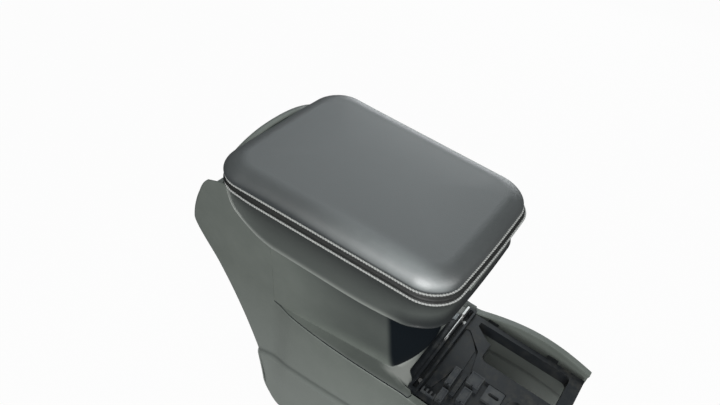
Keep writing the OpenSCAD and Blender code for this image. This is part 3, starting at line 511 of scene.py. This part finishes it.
SHADE_BLACK = (0.003, 0.004, 0.005)
shade_paint, tone = grained("grey_surround")
# Painted shade: darker under the lid
tone = shade_paint.blend(shade_paint.attr("painted_shade"), tone, (0.018, 0.021, 0.020))
# Painted light: paler on the ledge in front of the box
tone = shade_paint.blend(shade_paint.attr("painted_light"), tone, (0.125, 0.132, 0.123))
# Painted shade: the front wall and the groove are painted near-black, and a dull black shader is laid over them
# and over the shade under the lid
shade_paint.set("Base Color", shade_paint.blend(shade_paint.attr("front"), tone, SHADE_BLACK))
shade_paint.cover((shade_paint.attr("front") * 0.92 + shade_paint.attr("painted_shade") * 0.55).clip(),
                  shade_paint.node("ShaderNodeBsdfDiffuse", Color=(*SHADE_BLACK, 1.0), Roughness=1.0))
place(dress(surround, shade_paint), "console", "plastic_grey", "upper_surround")

# ---- Rail flange ---------------------------------------------------------------------------------------
# Black rear flange of the cross rail, moulded in one with it. It laps the surround's front edge in front of
# the box. Shallow ribs stand across it, a cosine to its eighth power each 12 mm, and its ends are rounded.
x = CORNER + np.array([20.6, 20.2, 20.8, 26, 31, 31.8, 31.8])
z = LEDGE + np.array([-1.5, 3.2, 4.2, 4.6, 4.9, 4.4, -1.5])
y = np.concatenate([[-72.0], np.linspace(-71.0, 71.0, 54), [72.0]])[:, None]
rib = 0.9 * np.cos(2 * np.pi * y / 12) ** 8 * np.array([0, 0, 0, 1, 1, 0, 0])
x = x + 10.5 * ease((np.abs(y) - 58) / 14) * ramp((CORNER + 31.8 - x) / 11.6)
pts = np.stack([x, np.broadcast_to(y, x.shape), z + rib], -1)
flange = facing(weld(grid("rail_rear_flange", pts, wrap=True, caps=True)), 2, 1)
black = Paint("black_moulding", 0.42, spec=0.3)
dusty = black.noise(85.0, 6.0, 0.7).step(0.46, 0.80)
patch = black.noise(24.0, 3.0).step(0.40, 0.70)
black.set("Base Color", black.blend(dusty * patch * 0.8, (0.005, 0.006, 0.007), (0.040, 0.038, 0.030)))
black.set("Roughness", dusty * 0.3 + 0.32)
black.bump(black.noise(700.0, 2.0), 0.12, 0.0003)
place(dress(flange, black), "console", "plastic_black")

# ---- Lid cushion ---------------------------------------------------------------------------------------
# Grey leather glued over a moulded foam pad, so that it lies taut: a low crowned pillow with rounded
# shoulders. Its lower edge is drawn in along the seam by the stitches.
FRONT_W, REAR_W, LID_BOW = 215, 242, 3.0
HALF_W, TAPER = (FRONT_W + REAR_W) / 4, (REAR_W - FRONT_W) / (REAR_W + FRONT_W)
SHOULDER = 25.6  # how far the rounded shoulder reaches in


def lid_ring(off, n=420):
    """Plan of the lid grown by off: a rounded rectangle, evenly divided from the middle of the right side,
    then narrowed towards the front and bowed at both ends. Returns points, outward directions and the
    distance along it."""
    a, b = LID + off, HALF_W + off
    r = min(b, max(3.0, 39 + 0.6 * min(off, 0)))
    pts, out = [np.array([[0.0, -b]])], [np.array([[0.0, -1.0]])]
    for cx, cy, start in ((a - r, r - b, 270), (a - r, b - r, 0), (r - a, b - r, 90), (r - a, r - b, 180)):
        t = np.radians(start + np.linspace(0, 90, 25))
        out.append(np.stack([np.cos(t), np.sin(t)], 1))
        pts.append(np.array([cx, cy]) + r * out[-1])
    pts, out = np.concatenate(pts + [pts[0]]), np.concatenate(out + [out[0]])
    run = length_along(pts)
    at = np.linspace(0, run[-1], n, endpoint=False)
    p, d = points_at(at, run, pts), points_at(at, run, out)
    x = p[:, 0] + LID_BOW * (1 - (p[:, 1] / HALF_W) ** 2) * p[:, 0] / LID
    plan = np.stack([x, p[:, 1] * (1 - TAPER * p[:, 0] / LID)], 1)
    return plan, d / np.linalg.norm(d, axis=1)[:, None], at


def tuck(x):
    """How much of a row's offset is left: all of it over most of the lid, a quarter at the rear corners."""
    return 1 - 0.75 * ease((-85 - x) / 60)


def lid_rows(profile, tucked=False):
    """Rows of points round the lid for (offset, height) pairs."""
    flat = lid_ring(0)[0]
    rows = []
    for off, z in profile:
        p = lid_ring(off)[0]
        if tucked and off > 0:
            p = mix(flat, p, tuck(flat[:, :1]))
        rows.append(at_height(p + [LID_X, 0], z))
    return np.array(rows)


# Profile: from the seam a quarter ellipse that bulges by 1.5 mm low down, then a crown that rises by 2.5 mm
# as a square law, up to a slit in the middle, which a cap closes
angles = np.radians(np.concatenate([np.linspace(0, 30, 13), np.linspace(33, 90, 20)]))
profile = [(-2.4, SEAM - 0.9), (-1.0, SEAM - 0.5)]
profile += [(-SHOULDER * (1 - math.cos(a)) + 1.5 * math.sin(min(math.pi, 3 * a)),
             SEAM + 0.5 + 20.2 * math.sin(a)) for a in angles]
profile += [(mix(-SHOULDER, 6 - HALF_W, k) - (0 if k < 0.99 else 5.5), SEAM + 20.7 + 2.5 * (1 - (1 - k) ** 2))
            for k in (0.04, 0.1, 0.18, 0.28, 0.4, 0.54, 0.68, 0.82, 0.93, 0.995)]
rows = lid_rows(profile)
_, outward, arc = lid_ring(0)
height = rows[..., 2] - SEAM
# Puckers: the stitches gather the leather a little, most at the seam and gone 12 mm above it
pull = np.exp(-(height / 5.0) ** 2) * (height > -1)
wave = np.sin(arc / 4.6) * 0.5 + np.sin(arc / 7.9 + 1.3) * 0.5
rows[..., :2] -= (pull * (0.22 + 0.16 * wave))[..., None] * outward
# The rear corners swell out over the seam by 2.2 mm
swell = 2.2 * np.exp(-((height - 7) / 6.0) ** 2) * ease((LID_X - 60 - rows[..., 0]) / 90)
rows[..., :2] += swell[..., None] * outward
# Seam shade: painted shade near the stitches, over 15 mm at the rear and 6 mm at the front
low = ease(1 - height / mix(15, 6, ease((rows[..., 0] - LID_X + 110) / 200)))
# Painted highlight: the right shoulder is painted paler over its front half, where the light falls
near = ease((-rows[..., 1] / (HALF_W - 6) - 0.72) / 0.2)
painted_light = ease((rows[..., 0] - LID_X + 45) / 180) * near * ease((height - 1) / 6)
cushion = grid("leather_cushion", rows, wrap=True, caps=True, attr={"seam": low, "painted_light": painted_light})
facing(weld(cushion), 2, 1)

hide = Paint("grey_leather", 0.4, spec=0.9)
cloud, fine = hide.noise(7.0, 3.0), hide.noise(60.0, 4.0)
seam = hide.attr("seam")
tone = hide.blend(cloud * 0.6 + fine * 0.2, (0.016, 0.019, 0.019), (0.026, 0.029, 0.029))
# Painted highlight on the right shoulder's front half
tone = hide.blend(hide.attr("painted_light") * (fine * 0.5 + 0.6), tone, (0.085, 0.094, 0.094))
# Painted shade near the seam: a darker colour, with a dull dark shader laid over it
hide.set("Base Color", hide.blend(seam * 0.65, tone, (0.010, 0.012, 0.012)))
hide.cover(seam * 0.6, hide.node("ShaderNodeBsdfDiffuse", Color=(0.010, 0.012, 0.014, 1.0), Roughness=1.0))
hide.set("Roughness", cloud * 0.10 + fine * 0.06 + 0.40)
pebble = hide.cells(620.0, "DISTANCE_TO_EDGE").step(0.0, 0.25) * 0.6 + hide.noise(300.0, 3.0) * 0.6
hide.bump(pebble, 0.22, 0.0004)
place(dress(cushion, hide), "lid", "leather_grey", "lid_cushion")

# ---- Seam band and stitches ----------------------------------------------------------------------------
# A narrow band of dark leather between two rows of stitching in light grey thread. Each row lies beside a
# furrow, with a soft ridge between the furrows. Both are drawn in at the lid's rear corners.
BAND_H = 9.6
section = [(-9.0, 0.3), (-1.2, 0.3), (-0.2, 0.5), (0.4, 1.2), (0.5, 2.0), (0.8, 2.6), (1.8, 3.1), (2.8, 3.7),
           (3.3, 4.6), (3.6, 5.4), (3.6, 6.1), (3.1, 6.8), (2.9, 7.3), (3.3, 7.9), (4.0, 8.5), (4.3, 9.1),
           (3.9, 9.5), (3.3, BAND_H), (-9.0, BAND_H), (-9.0, 0.3)]
rows = lid_rows([(off, SEAM - down) for off, down in section], tucked=True)
band = facing(weld(grid("dark_seam_band", rows, wrap=True)), 2, 1)
dark = Paint("dark_leather", 0.55, spec=0.2)
tone = dark.blend(dark.noise(120.0, 3.0), (0.004, 0.0045, 0.004), (0.009, 0.0095, 0.009))
dark.set("Base Color", tone)
dark.bump(dark.cells(620.0, "DISTANCE_TO_EDGE").step(0.0, 0.25), 0.2, 0.0004)
place(dress(band, dark), "lid", "leather_dark", "seam_band")

PITCH, STITCH, THREAD_R = 3.6, 4.6, 1.3  # distance and length of the stitches, and the thread's radius


def stitches(name, off, z, slant):
    """Short runs of thick thread round the lid, slanted across the seam. Each is a capsule whose radius at a
    share s of its length goes as the root of 1 - (2 s - 1)^4, and whose ends dip into the leather."""
    ring, d, _ = lid_ring(off, 2400)
    flat = lid_ring(0, 2400)[0]
    ring = mix(flat, ring, tuck(flat[:, :1]))
    ring, d = np.concatenate([ring, ring[:1]]), np.concatenate([d, d[:1]])
    run = length_along(ring)
    count = int(run[-1] / PITCH)
    at = np.arange(count) * run[-1] / count
    out = at_height(points_at(at, run, d), 0.0)
    out /= np.linalg.norm(out, axis=1)[:, None]
    up = np.array([0, 0, 1.0])
    forward = np.cross(out, up)
    normal = out * math.cos(math.radians(35)) + up * math.sin(math.radians(35))
    across = np.cross(forward, normal)
    t = math.radians(slant)
    long = forward * math.cos(t) + across * math.sin(t)
    wide = -forward * math.sin(t) + across * math.cos(t)
    s = np.linspace(0, 1, 9)[:, None]
    a = np.linspace(0, 2 * np.pi, 8, endpoint=False)
    r = THREAD_R * np.sqrt(np.clip(1 - (2 * s - 1) ** 4, 0.02, 1))
    centre = at_height(points_at(at, run, ring) + [LID_X, 0], z) + normal * 0.5
    pts = (centre[:, None, None] + long[:, None, None] * ((s - 0.5) * STITCH)[None, ..., None]
           + wide[:, None, None] * (r * np.cos(a))[None, ..., None]
           + normal[:, None, None] * (r * np.sin(a) - (2 * s - 1) ** 2 * 0.35)[None, ..., None])
    m, k = len(s), len(a)
    i, j = np.meshgrid(np.arange(m - 1), np.arange(k), indexing="ij")
    quads = np.stack([i * k + j, (i + 1) * k + j, (i + 1) * k + (j + 1) % k, i * k + (j + 1) % k], -1)
    first = np.arange(count)[:, None] * m * k
    faces = (quads.reshape(1, -1, 4) + first[..., None]).reshape(-1, 4).tolist()
    faces += (first + np.arange(k)).tolist() + (first + (m - 1) * k + np.arange(k)[::-1]).tolist()
    return weld(new_piece(name, pts, faces), 1e-7)


thread = Paint("grey_thread", 0.75)
tone = thread.blend(thread.noise(900.0, 2.0), (0.115, 0.119, 0.115), (0.175, 0.18, 0.173))
thread.set("Base Color", tone)
for name, off, z, slant in (("stitch_row_upper", 0.3, SEAM + 0.1, 12),
                            ("stitch_row_lower", 4.3, SEAM - 9.2, 7)):
    place(dress(stitches(name, off, z, slant), thread), "lid", "leather_dark")

# ---- Skirt ---------------------------------------------------------------------------------------------
# Leather-covered apron under the seam: draws in as a soft cove, runs down to a thin turned rim that is painted
# pale as a highlight, and sweeps up to nothing over the rear third. The latch handle sits in a pocket at its
# front.
SKIRT_TOP = SEAM - BAND_H
SKIRT_COLS, POCKET = 480, 41.0  # points round it, and half the pocket's width


def skirt_drop(x):
    """Depth under the band: 61.4 mm, less by a square law to 48.4 mm at the front, and rising as a parabola
    over 92 mm towards the rear."""
    s, f = ramp((-60 - x) / 92), ramp((x - 40) / 100)
    return 2 + (59.4 - 13 * f * f) * (1 - s * s)


def skirt_off(v):
    """How far it stands out at a share v of its depth: a lip that fades as a cube, less a cove as a sine."""
    return 2.5 * (1 - v) ** 3 - 4.5 * math.sin(math.pi * v) * (1 - 0.3 * v) + 0.5 * v


share = np.concatenate([[0, 0.012, 0.0373], np.linspace(0.08, 0.40, 12), [0.441], np.linspace(0.48, 0.93, 16),
                        [0.955, 0.972, 0.985, 0.995, 1.0]])
curl = [0.0] * (len(share) - 5) + [0.10, 0.35, 0.55, 0.45, 0.0]
rows = []
for v, c in zip(share, curl):
    p = lid_ring(skirt_off(v) + c, SKIRT_COLS)[0]
    rows.append(at_height(p + [LID_X, 0], SKIRT_TOP - skirt_drop(p[:, 0]) * v))
rows = np.array(rows)
# The pocket's sides are set upright, and its faces come out: 13 rows of them, the third from the top first
front = np.where(rows[0, :, 0] > LID_X + 150)[0]
for side in (-POCKET, POCKET):
    rows[2:17, front[np.argmin(np.abs(rows[10, front, 1] - side))], 1] = side
cols = front[np.abs(rows[10, front, 1]) < POCKET + 0.01]
gone = np.zeros((len(share) - 1, SKIRT_COLS), bool)
gone[2:15, cols.min():cols.max()] = True
# Attributes of painted light and shade: the front's lower half is painted in shade, the rim is painted pale
# as a highlight elsewhere, and the top under the band is painted dark as shade
shady = ease((rows[..., 0] - LID_X - 90) / 50) * ease((share[:, None] - 0.5) / 0.4)
rim_highlight = (ramp((share - 0.86) / 0.12) ** 2)[:, None] * (1 - shady)
top = np.maximum((ramp(1 - share / 0.85) ** 1.4)[:, None], shady)
apron = grid("leather_apron", rows, wrap=True, attr={"rim": rim_highlight, "top": top})
bm = bmesh.new()
bm.from_mesh(apron.data)
bm.faces.ensure_lookup_table()
bmesh.ops.delete(bm, geom=[bm.faces[int(i)] for i in np.where(gone.reshape(-1))[0]], context="FACES")
bm.to_mesh(apron.data)
bm.free()
apron.data.flip_normals()
wall(apron, 2.8, 0.35)

under = Paint("apron_leather", 0.45, spec=0.2)
cloud = under.noise(9.0, 3.0)
tone = under.blend(cloud, (0.026, 0.030, 0.028), (0.038, 0.042, 0.039))
# Painted shade under the band and on the front's lower half, and a painted highlight on the rim
tone = under.blend(under.attr("top") * 0.9, tone, (0.004, 0.005, 0.0055))
under.set("Base Color", under.blend(under.attr("rim") * 0.85, tone, (0.105, 0.112, 0.104)))
under.set("Roughness", cloud * 0.1 + 0.4)
pebble = under.cells(620.0, "DISTANCE_TO_EDGE").step(0.0, 0.25) * 0.6 + under.noise(300.0, 3.0) * 0.5
under.bump(pebble, 0.2, 0.0004)
place(dress(apron, under), "lid", "leather_grey", "lid_skirt")

# ---- Hinge cover ---------------------------------------------------------------------------------------
# Arched shield of the same grey plastic, fixed behind the lid. It turns with the lid and hides the hinge; its
# top edge is rolled. Two tabs at its ends stand forward from it.
section = np.array([[-11.0, 39.4], [-11.2, 40.8], [-12.6, 41.9], [-17.0, 42.3], [-20.2, 41.4], [-21.9, 38.6],
                    [-23.4, 32.0], [-25.0, 25.0], [-26.8, 16.0], [-28.0, 10.0], [-29.4, 1.0], [-30.0, -5.0],
                    [-30.0, -16.0]])[:, None]
y = np.linspace(-79, 79, 61)
# The top falls towards the ends by the power of 2.3, and less the lower a point lies
drop = 19 * (np.abs(y) / 84) ** 2.3 - 3.6
z = HINGE_Z + section[..., 1] - drop * ramp((section[..., 1] + 16) / 58)
x, y = np.broadcast_arrays(HINGE_X + section[..., 0], y)
cover = facing(weld(grid("hinge_shield", np.stack([x, y, z], -1))), 0, -1)
wall(cover, 2.4, 0.4)
place(dress(cover, shell_paint), "lid", "plastic_grey", "hinge_cover")
section = np.array([[-24, 22], [-26.5, 6], [-27.5, -10], [8, -8], [8, 9], [-12, 12]]) + [HINGE_X, HINGE_Z]
tabs = []
for s in (-1, 1):
    rings = [np.stack([section[:, 0], np.full(6, s * y), section[:, 1]], 1) for y in (77.0, 81.0)]
    tabs.append(facing(weld(grid("tab", rings, wrap=True, caps=True)), 2, 1))
tab = join("hinge_shield_tabs", tabs)
tab.data.polygons.foreach_set("use_smooth", [False] * len(tab.data.polygons))
place(dress(tab, shell_paint), "lid", "plastic_grey")

# ---- Torsion spring ------------------------------------------------------------------------------------
# Five turns of bright spring wire round the hinge pin, one end on the bracket plate and the other under the
# lid: a helix with two straight ends, drawn as a tube.
COIL_R, COIL_PITCH, WIRE_R, PER_TURN = 7.4, 3.2, 1.2, 48
steel = Paint("plated_steel", 0.34, metal=1.0)
steel.set("Base Color", steel.blend(steel.noise(60.0, 4.0), (0.42, 0.42, 0.41), (0.62, 0.61, 0.59)))
steel.set("Roughness", steel.noise(45.0, 3.0) * 0.2 + 0.26)
turns = np.arange(5 * PER_TURN + 1) / PER_TURN
a = 2 * np.pi * turns
coil = np.stack([HINGE_X + COIL_R * np.cos(a), COIL_PITCH * turns - 8, HINGE_Z + COIL_R * np.sin(a)], 1)
head = np.stack([np.full(8, HINGE_X + COIL_R), np.full(8, -8.0),
                 np.linspace(HINGE_Z - 45, HINGE_Z - 2, 8)], 1)
lean = math.radians(75)
tail = coil[-1] + np.linspace(1, 24, 8)[:, None] * np.array([math.sin(lean), 0, math.cos(lean)])
wire = np.concatenate([head, coil, tail])
forward = np.gradient(wire, axis=0)
forward /= np.linalg.norm(forward, axis=1)[:, None]
side = np.cross(forward, [0, 1.0, 0])
side /= np.maximum(np.linalg.norm(side, axis=1), 1e-6)[:, None]
up = np.cross(side, forward)
b = np.linspace(0, 2 * np.pi, 12, endpoint=False)[None, :, None]
pts = wire[:, None] + WIRE_R * (side[:, None] * np.cos(b) + up[:, None] * np.sin(b))
spring = weld(grid("hinge_coil", pts, wrap=True, caps=True))
place(dress(spring, steel), "console", "steel", "torsion_spring")

# ---- Pieces kept as built ------------------------------------------------------------------------------
# Black moulded carrier parts, steel fittings and small grey clips take their finish here; their shape is the
# CAD solid's, with the edges of some softened.
socket = Paint("dark_grey_moulding", 0.5, spec=0.45)
dusty = socket.noise(95.0, 5.0, 0.65).step(0.45, 0.8)
socket.set("Base Color", socket.blend(dusty * 0.6, (0.012, 0.014, 0.016), (0.045, 0.046, 0.042)))
rubber = Paint("black_rubber", 0.8, spec=0.3)
tone = rubber.blend(rubber.noise(150.0, 3.0), (0.014, 0.014, 0.014), (0.026, 0.026, 0.025))
rubber.set("Base Color", tone)
foam = Paint("pale_foam", 0.95, spec=0.2)
foam.set("Base Color", foam.blend(foam.noise(500.0, 3.0), (0.42, 0.38, 0.27), (0.58, 0.53, 0.41)))
foam.bump(foam.cells(500.0), 0.4, 0.0008)
clip = Paint("grey_clip", 0.45)
clip.set("Base Color", clip.blend(clip.noise(120.0, 3.0), (0.10, 0.115, 0.12), (0.15, 0.165, 0.17)))

finish = {
    black: ["front_carrier", "cross_rail", "storage_bin", "lid_core", "lid_liner"],
    socket: ["socket_blocks", "slotted_plate", "side_comb"],
    rubber: ["bin_mat", "lid_bumpers"],
    foam: ["foam_pad"],
    clip: ["ledge_clip"],
    shade_paint: ["latch_handle"],
    steel: ["hinge_arms", "arm_screws", "latch_bracket", "latch_pin", "latch_spring", "latch_hook",
            "hinge_bracket", "hinge_pin", "bracket_screws", "striker", "spring_strip", "rail_screws",
            "floor_bracket_front", "floor_bracket_rear"],
}
soft_edge = {"front_carrier": 0.8, "cross_rail": 0.8, "socket_blocks": 0.5, "slotted_plate": 0.5,
             "side_comb": 0.4, "ledge_clip": 0.4, "spring_strip": 0.25, "latch_handle": 0.8,
             "storage_bin": 0.6, "striker": 0.3}
for paint, names in finish.items():
    for name in names:
        dress(NODE[name], paint)
        if name in soft_edge:
            soften(NODE[name], soft_edge[name], 35)

# ---- Stage, lamps and camera ---------------------------------------------------------------------------
# White backdrop and four area lamps, as in a plain workshop: a tall window at the right gives the long
# highlight on the near shoulder, and ceiling, front and far side are lit softly.
floor = grid("floor_sheet", [[[x, y, -0.4] for x in (-4000, 4000)] for y in (-4000, 4000)])
white = Paint("white_floor", 0.9, spec=0.1)
white.set("Base Color", (0.16, 0.16, 0.16, 1.0))
glow = white.node("ShaderNodeEmission", Color=(1.0, 1.0, 1.0, 1.0), Strength=1.0)
seen = Sock(white.tree, white.node("ShaderNodeLightPath").outputs["Is Camera Ray"])
white.cover(seen * 0.97, glow)
dress(floor, white)

world = bpy.data.worlds.new("surroundings")
bpy.context.scene.world = world
world.use_nodes = True
sky = world.node_tree
backdrop = sky.nodes["Background"]
backdrop.inputs["Color"].default_value = (0.93, 0.97, 1.0, 1.0)
seen = Sock(sky, sky.nodes.new("ShaderNodeLightPath").outputs["Is Camera Ray"])
sky.links.new((seen * 0.8 + 0.2).out, backdrop.inputs["Strength"])


def lamp(name, at, size, power, aim, tint=(1, 1, 1)):
    """An area lamp of a width and a height that looks at a point; all in metres and watts."""
    data = bpy.data.lights.new(name, "AREA")
    data.shape = "RECTANGLE"
    data.size, data.size_y, data.energy, data.color = *size, power, tint
    ob = bpy.data.objects.new(name, data)
    bpy.context.scene.collection.objects.link(ob)
    ob.location = at
    ob.rotation_mode = "QUATERNION"
    ob.rotation_quaternion = (Vector(aim) - Vector(at)).to_track_quat("-Z", "Y")


lamp("ceiling_panel", (-0.8, 1.2, 2.0), (2.2, 2.2), 24, (0, 0, 0.4), (0.9, 0.97, 1.0))
lamp("window", (0.5, -1.25, 1.2), (0.5, 1.6), 62, (0.05, -0.1, 0.45))
lamp("front_panel", (1.7, -0.3, 1.3), (1.1, 1.1), 24, (0.1, 0, 0.3))
lamp("far_fill", (-0.5, 1.9, 0.6), (1.4, 0.9), 17, (0, 0, 0.2), (0.94, 0.98, 1.0))

# Camera fitted to the photograph: back points from the object to the camera, and the axes across and up are
# rolled round it by 6.5 degrees
cam = bpy.data.objects.new("photo_camera", bpy.data.cameras.new("photo_camera"))
bpy.context.scene.collection.objects.link(cam)
bpy.context.scene.camera = cam
cam.data.lens, cam.data.sensor_width = 27.885, 36.0
across, up = np.array([0.84004, 0.54253, 0.0]), np.array([-0.36921, 0.57167, 0.73272])
back, roll_cos, roll_sin = np.array([0.39752, -0.61551, 0.68053]), 0.99357, 0.11320
turned = np.eye(4)
turned[:3, 0], turned[:3, 1] = roll_cos * across + roll_sin * up, -roll_sin * across + roll_cos * up
turned[:3, 2], turned[:3, 3] = back, (0.2343, -0.4465, 0.8977)
cam.matrix_world = Matrix(turned.tolist())

bpy.context.scene.view_settings.view_transform = "Standard"
